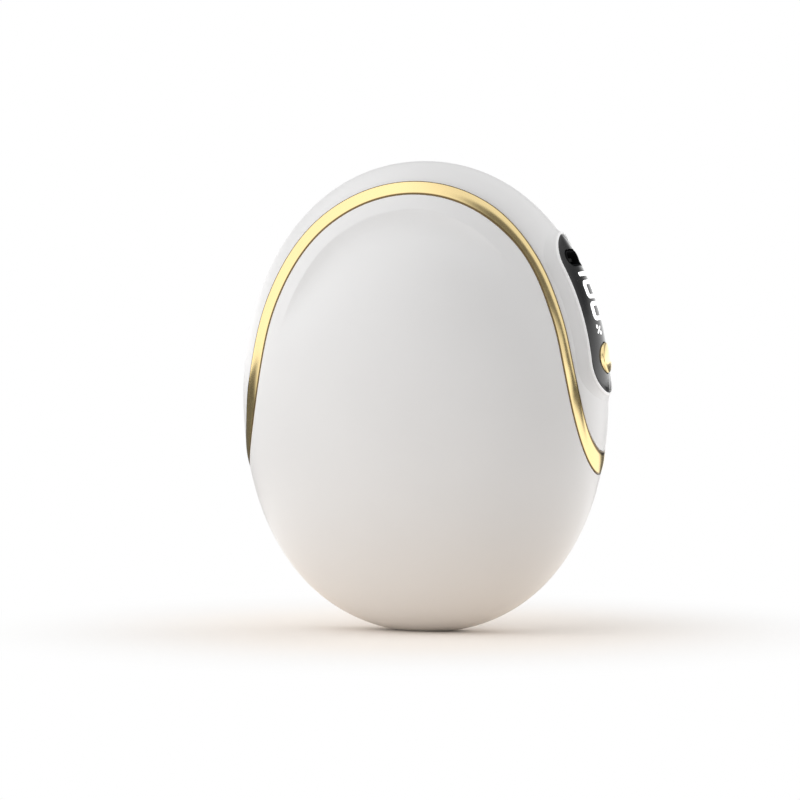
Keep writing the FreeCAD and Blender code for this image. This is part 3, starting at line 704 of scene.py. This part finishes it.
def rounded_box(wide, tall, corner, middle=(0, 0), turn=0.0):
    """A rounded rectangle with close points, so that it can bend."""
    places = []
    for quarter in range(4):
        angles = (quarter + np.linspace(0, 1, CORNER_POINTS)) * math.pi / 2
        sx, sy = ((1, 1), (-1, 1), (-1, -1), (1, -1))[quarter]
        hub = np.array([sx * (wide / 2 - corner), sy * (tall / 2 - corner)])
        places.append(hub + corner * np.stack([np.cos(angles), np.sin(angles)], axis=1))
    closed = np.concatenate([*places, places[0][:1]])
    dense = []
    for a, b in zip(closed, closed[1:]):
        steps = max(1, int(np.linalg.norm(b - a) / CLOSE_STEP))
        dense.append(a + (b - a) * np.linspace(0, 1, steps, endpoint=False)[:, None])
    dense = np.concatenate(dense)
    c, s = math.cos(math.radians(turn)), math.sin(math.radians(turn))
    return dense @ np.array([[c, s], [-s, c]]) + np.array(middle)


figures = [rounded_box(FIGURE_HEIGHT, STROKE, INNER_CORNER, (0, along_display(ONE_PLACE)))]
for height in ZERO_PLACES:
    middle = (0, along_display(height))
    figures.append(rounded_box(FIGURE_HEIGHT, FIGURE_WIDTH, OUTER_CORNER, middle))
    inner_tall, inner_wide = FIGURE_HEIGHT - 2 * BASE_STROKE, FIGURE_WIDTH - 2 * STROKE
    figures.append(rounded_box(inner_tall, inner_wide, INNER_CORNER, middle))
sign = np.array([-(FIGURE_HEIGHT - SIGN_SIZE) / 2, along_display(SIGN_PLACE)])
figures.append(rounded_box(SIGN_SLASH, SIGN_STROKE, SLASH_CORNER, sign, SIGN_SLANT))
for side in (-1, 1):
    dot_middle = sign + side * DOT_PLACE * np.array([1, -1])
    figures.append(rounded_box(SIGN_DOT, SIGN_DOT, DOT_CORNER, dot_middle))
print("outlines:", len(figures))

# %% Fill the figures and lay them on the window
FIGURE_RISE, FIGURE_SUNK = 0.04, 0.9
FLAT_BLOCK = 0.2
FINER_CUTS = 3
drawing = bpy.data.curves.new("figures", "CURVE")
drawing.dimensions = "2D"
drawing.fill_mode = "BOTH"
drawing.extrude = FLAT_BLOCK * MM
for outline in figures:
    line = drawing.splines.new("POLY")
    line.points.add(len(outline) - 1)
    corners = np.zeros((len(outline), 4))
    corners[:, :2] = outline * MM
    corners[:, 3] = 1
    line.points.foreach_set("co", corners.ravel())
    line.use_cyclic_u = True
digits = bpy.data.objects.new("lit_figures", drawing)
bpy.context.scene.collection.objects.link(digits)
only(digits)
bpy.ops.object.convert(target="MESH")
digits = bpy.context.object
digits.data.name = "lit_figures"
bpy.ops.object.mode_set(mode="EDIT")
bpy.ops.mesh.select_all(action="SELECT")
bpy.ops.mesh.quads_convert_to_tris()
bpy.ops.mesh.subdivide(number_cuts=FINER_CUTS)
bpy.ops.object.mode_set(mode="OBJECT")
flat = points_of(digits)
top = display.on_skin(flat[:, :2], LENS_RISE + FIGURE_RISE)
bottom = display.on_skin(flat[:, :2], LENS_RISE - FIGURE_SUNK)
pull_points(digits, np.where(flat[:, 2:] > 0, top, bottom))
face_outwards(digits)
smooth(digits, 30)
stands_for(digits, "housing", "digit_white", "digit_diffuser")

# %% [markdown]
# ## The power button
# The button is a domed gold cap on a stem, with a flange behind the window
# that keeps it from falling out. It is round, so its half section is drawn
# once and spun about the pressing axis.

# %% Spin the button
# Radius and way out of the window, from the stem's end to the top of the dome
section = [
    (0.0, -4.0),
    (1.2, -4.0),
    (1.2, -2.6),
    (3.7, -2.6),
    (3.7, -2.0),
    (3.1, -2.0),
    (3.1, 0.12),
    (3.07, 0.22),
    (3.0, 0.3),
    (2.9, 0.36),
    (2.75, 0.41),
    (2.4, 0.48),
    (1.9, 0.56),
    (1.3, 0.63),
    (0.7, 0.68),
    (0.0, 0.7),
]
deselect_all()
bpy.ops.mesh.primitive_circle_add(vertices=len(section), radius=0.01)
button = bpy.context.object
button.name = button.data.name = "gold_button"
pull_points(button, [button_plane.at([radius, 0], out) for radius, out in section])
bpy.ops.object.mode_set(mode="EDIT")
bpy.ops.mesh.select_all(action="SELECT")
pivot, axis = Vector(button_plane.middle) * MM, Vector(button_plane.out)
bpy.ops.mesh.spin(steps=ROUND_STEPS, angle=2 * math.pi, center=pivot, axis=axis)
bpy.ops.mesh.select_all(action="SELECT")
bpy.ops.mesh.remove_doubles(threshold=MERGE)
bpy.ops.mesh.delete_loose()
bpy.ops.object.mode_set(mode="OBJECT")
face_outwards(button)
smooth(button, 35)
stands_for(button, "button", "trim_gold", "power_button")

# %% [markdown]
# ## Finishes
# Each finish is a procedural material: a colour with a faint drift, and a
# fine grain in gloss and height, all read from object coordinates so that
# nothing slides when a piece moves. Marked places take a second colour: a
# painted shade along the gold strip's edges and a painted highlight on the
# white lip's crest.

# %% A finish
DRIFT_SCALE, DRIFT_DETAIL, DRIFT_RANGE = 60.0, 3.0, (0.3, 0.7)
GRAIN_DETAIL = 2.0
GRAIN_HEIGHT = 0.0001
LEAST_ROUGH = 0.02


def finish(
    name,
    colour,
    rough,
    metal=0.0,
    drift=0.03,
    grain=900.0,
    grain_rough=0.05,
    bump=0.0,
    glow=0.0,
    shine=0.5,
    edge=None,
):
    """A material with its colour's drift, its gloss's grain, and what else the finish needs."""
    paint = bpy.data.materials.new(name)
    paint.use_nodes = True
    nodes, links = paint.node_tree.nodes, paint.node_tree.links
    shader = nodes["Principled BSDF"]
    place = nodes.new("ShaderNodeTexCoord")
    cloud = nodes.new("ShaderNodeTexNoise")
    cloud.inputs["Scale"].default_value = DRIFT_SCALE
    cloud.inputs["Detail"].default_value = DRIFT_DETAIL
    links.new(place.outputs["Object"], cloud.inputs["Vector"])
    ramp = nodes.new("ShaderNodeValToRGB")
    darker, lighter = ramp.color_ramp.elements
    darker.position, lighter.position = DRIFT_RANGE
    darker.color = (*[c * (1 - drift) for c in colour], 1)
    lighter.color = (*[min(1, c * (1 + drift)) for c in colour], 1)
    links.new(cloud.outputs["Fac"], ramp.inputs["Fac"])
    shade = ramp.outputs["Color"]
    # A marked place takes the second colour: painted shade along the gold strip's edges, a painted
    # highlight on the white lip's crest.
    if edge:
        mark = nodes.new("ShaderNodeAttribute")
        mark.attribute_name = "edge"
        lined = nodes.new("ShaderNodeMix")
        lined.data_type = "RGBA"
        lined.inputs["B"].default_value = (*edge, 1)
        links.new(mark.outputs["Fac"], lined.inputs["Factor"])
        links.new(shade, lined.inputs["A"])
        shade = lined.outputs["Result"]
    links.new(shade, shader.inputs["Base Color"])
    fine = nodes.new("ShaderNodeTexNoise")
    fine.inputs["Scale"].default_value = grain
    fine.inputs["Detail"].default_value = GRAIN_DETAIL
    links.new(place.outputs["Object"], fine.inputs["Vector"])
    spread = nodes.new("ShaderNodeMapRange")
    spread.inputs["To Min"].default_value = max(LEAST_ROUGH, rough - grain_rough)
    spread.inputs["To Max"].default_value = rough + grain_rough
    links.new(fine.outputs["Fac"], spread.inputs["Value"])
    links.new(spread.outputs["Result"], shader.inputs["Roughness"])
    shader.inputs["Metallic"].default_value = metal
    shader.inputs["Specular IOR Level"].default_value = shine
    if glow:
        links.new(ramp.outputs["Color"], shader.inputs["Emission Color"])
        shader.inputs["Emission Strength"].default_value = glow
    if bump:
        relief = nodes.new("ShaderNodeBump")
        relief.inputs["Strength"].default_value = bump
        relief.inputs["Distance"].default_value = GRAIN_HEIGHT
        links.new(fine.outputs["Fac"], relief.inputs["Height"])
        links.new(relief.outputs["Normal"], shader.inputs["Normal"])
    return paint


# %% Finishes by slot
# Near white is the painted highlight on the lip's crest, dark bronze the painted shade of the gaps along
# the gold strip.
painted_crest_highlight, painted_gap_shade = (0.97, 0.97, 0.97), (0.16, 0.11, 0.05)
shell = dict(drift=0.006, grain_rough=0.03, edge=painted_crest_highlight)
gold = dict(metal=1.0, drift=0.02, grain_rough=0.04, edge=painted_gap_shade)
finishes = {
    "shell_white": finish("white satin moulding", (0.82, 0.816, 0.815), 0.34, **shell),
    "trim_gold": finish("pale gold metal", (0.92, 0.73, 0.37), 0.15, **gold),
    "window_black": finish("black window gloss", (0.010, 0.010, 0.011), 0.14, drift=0.1, grain_rough=0.02),
    "digit_white": finish("lit white", (1.0, 1.0, 1.0), 0.4, drift=0.01, glow=1.0),
    "module_black": finish("matt black moulding", (0.02, 0.02, 0.02), 0.7, shine=0.03),
    "switch_grey": finish("grey switch moulding", (0.35, 0.35, 0.36), 0.55),
    "board_green": finish("green board", (0.05, 0.22, 0.1), 0.4, drift=0.12),
    # The socket shell is painted near black and without shine: a painted shade of the recess round the
    # slot.
    "socket_steel": finish("near-black socket, painted recess shade", (0.012, 0.012, 0.013), 0.7, shine=0.0),
    "screw_steel": finish("plated screw steel", (0.62, 0.63, 0.64), 0.3, metal=1.0),
    "frame_grey": finish("grey frame moulding", (0.42, 0.43, 0.44), 0.55),
    "cell_foil": finish("foil pouch", (0.7, 0.71, 0.73), 0.38, metal=1.0, bump=0.1),
    "plate_metal": finish("plain sheet metal", (0.78, 0.79, 0.8), 0.32, metal=1.0),
    "film_amber": finish("amber film", (0.72, 0.4, 0.1), 0.3, drift=0.1),
    "foam_grey": finish("grey foam", (0.25, 0.25, 0.26), 0.9, drift=0.15, grain=2500.0, bump=0.6),
    "ferrite_grey": finish("grey ferrite", (0.14, 0.14, 0.15), 0.7, drift=0.1),
    "chip_tan": finish("tan ceramic", (0.6, 0.48, 0.34), 0.5, drift=0.08),
    "lead_red": finish("red wire cover", (0.6, 0.06, 0.05), 0.5),
    "lead_white": finish("white wire cover", (0.8, 0.8, 0.78), 0.5),
}
print("finishes:", len(finishes))

# %% [markdown]
# The inner pieces keep the solid model's shape, as they are hidden once the
# housing is closed, and only get a finish. So does each new skin.

# %% Give every piece its finish
node_slots = {
    "socket_steel": ["usb_shell"],
    "screw_steel": ["frame_screws", "board_screws"],
    "module_black": ["led_module", "usb_tongue", "tact_switch", "controller_chip"],
    "switch_grey": ["switch_plunger"],
    "board_green": ["display_board", "switch_board", "main_board"],
    "frame_grey": ["inner_frame"],
    "cell_foil": ["front_cell", "rear_cell"],
    "plate_metal": ["front_heat_plate", "rear_heat_plate"],
    "film_amber": ["front_heating_film", "rear_heating_film"],
    "foam_grey": ["front_foam_pad", "rear_foam_pad"],
    "ferrite_grey": ["power_inductor"],
    "chip_tan": ["board_capacitors", "temperature_sensors"],
    "lead_red": ["battery_leads"],
    "lead_white": ["front_heater_leads", "rear_heater_leads", "link_leads", "switch_leads"],
}


def paint_with(piece, slot_name):
    piece.data.materials.clear()
    piece.data.materials.append(finishes[slot_name])


for slot_name, names in node_slots.items():
    for name in names:
        paint_with(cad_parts[name], slot_name)
for piece, slot_name in (
    (front_shell, "shell_white"),
    (rear_shell, "shell_white"),
    (side_band, "shell_white"),
    (trim_strip, "trim_gold"),
    (window, "window_black"),
    (digits, "digit_white"),
    (button, "trim_gold"),
):
    paint_with(piece, slot_name)
print("painted nodes:", sum(len(names) for names in node_slots.values()))

# %% [markdown]
# ## The floor
# The object stands on a plain pale floor, warm close to it and white further
# out. Close by it is a matt paint, which keeps the object's shadow; beyond
# that it fades into a white glow for the camera and for reflections. A floor
# and a surround are both networks of small nodes, so a few short words for
# adding them come first.


# %% Short words for nodes
class Graph:
    """Adds nodes to a material or a world and joins them."""

    def __init__(self, tree):
        self.nodes, self.links = tree.nodes, tree.links

    def join(self, value, socket):
        """Links an output to a socket, or sets the socket to a number or colour."""
        if isinstance(value, bpy.types.NodeSocket):
            self.links.new(value, socket)
        else:
            socket.default_value = value

    def reckon(self, operation, *values):
        """One step of arithmetic."""
        node = self.nodes.new("ShaderNodeMath")
        node.operation = operation
        for value, socket in zip(values, node.inputs):
            self.join(value, socket)
        return node.outputs["Value"]

    def measure(self, operation, place, other):
        """One number from two places or ways."""
        node = self.nodes.new("ShaderNodeVectorMath")
        node.operation = operation
        self.join(place, node.inputs[0])
        self.join(other, node.inputs[1])
        return node.outputs["Value"]

    def fade(self, value, start, end, low, high, kind="SMOOTHSTEP"):
        """A level that changes from low to high while a value goes from start to end."""
        node = self.nodes.new("ShaderNodeMapRange")
        node.interpolation_type = kind
        names = ("Value", "From Min", "From Max", "To Min", "To Max")
        for name, number in zip(names, (value, start, end, low, high)):
            self.join(number, node.inputs[name])
        return node.outputs["Result"]

    def greys(self, value, *steps):
        """A ramp of greys through steps of position and level."""
        node = self.nodes.new("ShaderNodeValToRGB")
        stops = node.color_ramp.elements
        stops[0].position, stops[1].position = steps[0][0], steps[-1][0]
        for position, grey in steps[1:-1]:
            stops.new(position)
        for stop, (position, grey) in zip(stops, steps):
            stop.color = (grey, grey, grey, 1)
        self.join(value, node.inputs["Fac"])
        return node.outputs["Color"]

    def pick(self, share, first, second, kind="FLOAT"):
        """A mix of two levels or two colours."""
        node = self.nodes.new("ShaderNodeMix")
        node.data_type = kind
        for name, value in zip(("Factor", "A", "B"), (share, first, second)):
            self.join(value, node.inputs[name])
        return node.outputs["Result"]

    def around(self, place):
        """Where a place lies, seen from above, as a share of a turn."""
        turned = self.nodes.new("ShaderNodeMapping")
        turned.inputs["Rotation"].default_value[2] = math.pi / 2
        self.join(place, turned.inputs["Vector"])
        node = self.nodes.new("ShaderNodeTexGradient")
        node.gradient_type = "RADIAL"
        self.join(turned.outputs["Vector"], node.inputs["Vector"])
        return node.outputs["Fac"]


def turn_share(angle):
    """Degrees from the front, to the right, as the share of a turn that around gives."""
    return 0.5 + angle / 360


# %% The floor's colour
FLOOR_SIZE = 6
FLOOR_ROUGH = 0.8
WARM_NEAR, PALE_NEAR, PALE_FAR = (0.97, 0.855, 0.74, 1), (0.96, 0.905, 0.85, 1), (0.92, 0.91, 0.90, 1)
NEAR_END, FAR_START = 0.03, 0.1
deselect_all()
bpy.ops.mesh.primitive_plane_add(size=FLOOR_SIZE)
floor = bpy.context.object
floor.name = "floor"
ground = bpy.data.materials.new("pale floor")
ground.use_nodes = True
floor.data.materials.append(ground)
graph = Graph(ground.node_tree)
spot = graph.nodes.new("ShaderNodeTexCoord").outputs["Object"]
rays = graph.nodes.new("ShaderNodeLightPath").outputs
far = graph.fade(graph.measure("DISTANCE", spot, (0, 0, 0)), NEAR_END, FAR_START, 0.0, 1.0)
near_colour = graph.pick(rays["Is Camera Ray"], WARM_NEAR, PALE_NEAR, "RGBA")
paint = graph.nodes["Principled BSDF"]
paint.inputs["Roughness"].default_value = FLOOR_ROUGH
graph.join(graph.pick(far, near_colour, PALE_FAR, "RGBA"), paint.inputs["Base Color"])
print("floor in m:", FLOOR_SIZE, "fades to white from", NEAR_END, "to", FAR_START)

# %% [markdown]
# Polished metal shows what stands round it, so the floor has a second level
# for reflections alone: bright beside the object, and in shade further out on
# both sides and in a narrow stretch behind the right. That gives the gold its
# dark ends. The rest of the floor stays bright for them.

# %% The floor in reflections
MIRRORED_FLOOR, MIRRORED_SHADE = 1.35, 0.15
SHADE_MIDDLE = (0.03, -0.05, 0)
SHADE_START, SHADE_END = 0.15, 0.21
LEFT_SHADE = ((-165, 0), (-150, 1), (-62, 1), (-48, 0))
RIGHT_SHADE = ((30, 0), (42, 1), (80, 1), (96, 0))
REAR_SHADE = ((134, 0), (150, 1), (168, 1), (178, 0))
edges = [(turn_share(angle), grey) for angle, grey in LEFT_SHADE + RIGHT_SHADE + REAR_SHADE]
sides = graph.greys(graph.around(spot), *edges)
away = graph.measure("DISTANCE", spot, SHADE_MIDDLE)
shade = graph.reckon("MULTIPLY", sides, graph.fade(away, SHADE_START, SHADE_END, 0.0, 1.0, "LINEAR"))
mirrored = graph.fade(shade, 0.0, 1.0, MIRRORED_FLOOR, MIRRORED_SHADE, "LINEAR")
white = graph.nodes.new("ShaderNodeEmission")
graph.join(graph.pick(rays["Is Glossy Ray"], 1.0, mirrored), white.inputs["Strength"])
seen = rays["Is Camera Ray"]
for kind in ("Is Glossy Ray", "Is Transmission Ray"):
    seen = graph.reckon("MAXIMUM", seen, rays[kind])
mix = graph.nodes.new("ShaderNodeMixShader")
graph.join(graph.reckon("MULTIPLY", far, seen), mix.inputs["Fac"])
graph.join(paint.outputs["BSDF"], mix.inputs[1])
graph.join(white.outputs["Emission"], mix.inputs[2])
graph.join(mix.outputs["Shader"], graph.nodes["Material Output"].inputs["Surface"])
ground.cycles.emission_sampling = "NONE"
print("floor nodes:", len(graph.nodes))

# %% [markdown]
# ## The surround
# A pale surround gives the even light. Low down it is white, as the backdrop,
# then dimmer, and brighter again overhead; in front, behind the camera, it is
# dim, so that the face is modelled by the lamps.

# %% Even light
AZIMUTH, ELEVATION, DISTANCE = math.radians(15.76), math.radians(2.4), 1.0
FRONT_LEVEL = 0.155
world = bpy.data.worlds.new("studio")
bpy.context.scene.world = world
world.use_nodes = True
graph = Graph(world.node_tree)
way = graph.nodes.new("ShaderNodeTexCoord").outputs["Generated"]
parts = graph.nodes.new("ShaderNodeSeparateXYZ")
graph.join(way, parts.inputs["Vector"])
across, up = parts.outputs["X"], parts.outputs["Z"]
ahead = graph.measure("DOT_PRODUCT", way, (math.sin(AZIMUTH), -math.cos(AZIMUTH), 0))
height = graph.greys(up, (0.05, 1.0), (0.13, 0.35), (0.24, 0.35), (0.45, 0.76))
even = graph.fade(ahead, 0.3, 0.8, height, FRONT_LEVEL)
print("surround: front level", FRONT_LEVEL)

# %% [markdown]
# The gold and the window mirror a surround of their own: bright panels to the
# front and the sides, a wall behind that darkens upwards, and a slanted dark
# gap on the front right, which draws the dark streak down the right-hand leg.

# %% What metal and glass mirror
WALL_LEVEL, GAP_LEVEL = 1.75, 0.18
LEFT_LEVEL, RIGHT_LEVEL = 1.3, 0.95
GAP_SLANT = 60 / 360
around = graph.around(way)
slanted = graph.reckon("MULTIPLY_ADD", up, GAP_SLANT, around)
streak = ((14, 0), (22, 1), (45, 1), (54, 0))
stripe = graph.greys(slanted, *[(turn_share(angle), grey) for angle, grey in streak])
above = graph.fade(up, 0.08, 0.2, 0.0, 1.0)
right = graph.fade(around, turn_share(22), turn_share(32), 0.0, 1.0)
below = graph.fade(up, 0.5, 0.7, 1.0, 0.0)
ahead_right = graph.fade(around, turn_share(-8), turn_share(4), 0.0, 1.0)
gap = graph.reckon("MAXIMUM", above, right)
for limit in (below, ahead_right, stripe):
    gap = graph.reckon("MULTIPLY", gap, limit)
wall = graph.greys(up, (0.04, 1.0), (0.12, 0.7), (0.21, 0.48), (0.29, 0.14), (0.4, 0.14), (0.6, 0.4))
behind = graph.reckon("MULTIPLY", wall, WALL_LEVEL)
sides = graph.fade(across, -0.35, 0.05, LEFT_LEVEL, RIGHT_LEVEL)
panels = graph.fade(ahead, -0.4, 0.0, behind, sides)
mirrored = graph.fade(gap, 0.0, 1.0, panels, GAP_LEVEL)
rays = graph.nodes.new("ShaderNodeLightPath").outputs
backdrop = graph.nodes["Background"].inputs
graph.join(graph.pick(rays["Is Glossy Ray"], even, mirrored), backdrop["Strength"])
backdrop["Color"].default_value = (1, 1, 1, 1)
print("surround nodes:", len(graph.nodes))

# %% [markdown]
# ## The lamps
# The light is a soft studio: a broad key from the upper left, one lamp above
# that brings out the crease, two fills from the left and a rim light from the
# right. The lamps are hidden from reflections, which have their own surround.


# %% Lamps
def lamp(name, place, size, power):
    """A square lamp, in metres and watts, that looks at the object's middle."""
    deselect_all()
    bpy.ops.object.light_add(type="AREA", location=place)
    light = bpy.context.object
    light.name = name
    light.data.shape = "SQUARE"
    light.data.size = size
    light.data.energy = power
    light.visible_glossy = False
    light.rotation_euler = (MIDDLE - Vector(place)).to_track_quat("-Z", "Y").to_euler()
    print("lamp:", name, power, "W")


lamp("key", (-0.62, -0.6, 0.85), 1.5, 3.4)
lamp("top", (-0.1, -0.25, 1.15), 0.9, 1.6)
lamp("left", (-1.0, 0.05, 0.35), 0.8, 1.0)
lamp("front left", (-0.9, -0.75, 0.25), 1.0, 3.9)
lamp("rim", (0.8, 0.42, 0.22), 0.5, 3.2)

# %% [markdown]
# ## The camera
# The camera looks from a little to the right of the front, nearly level, with
# a long lens, as for a product picture.

# %% Camera
LENS, SENSOR = 220.0, 36.0
SHIFT_ACROSS, SHIFT_UP = -0.0308, -0.005
back = Vector((
    math.sin(AZIMUTH) * math.cos(ELEVATION),
    -math.cos(AZIMUTH) * math.cos(ELEVATION),
    math.sin(ELEVATION),
))
deselect_all()
bpy.ops.object.camera_add(location=MIDDLE + back * DISTANCE)
camera = bpy.context.object
camera.rotation_euler = (-back).to_track_quat("-Z", "Y").to_euler()
camera.data.lens = LENS
camera.data.sensor_width = SENSOR
camera.data.shift_x = SHIFT_ACROSS
camera.data.shift_y = SHIFT_UP
bpy.context.scene.camera = camera
bpy.context.scene.view_settings.view_transform = "Standard"
print("camera lens in mm:", LENS)
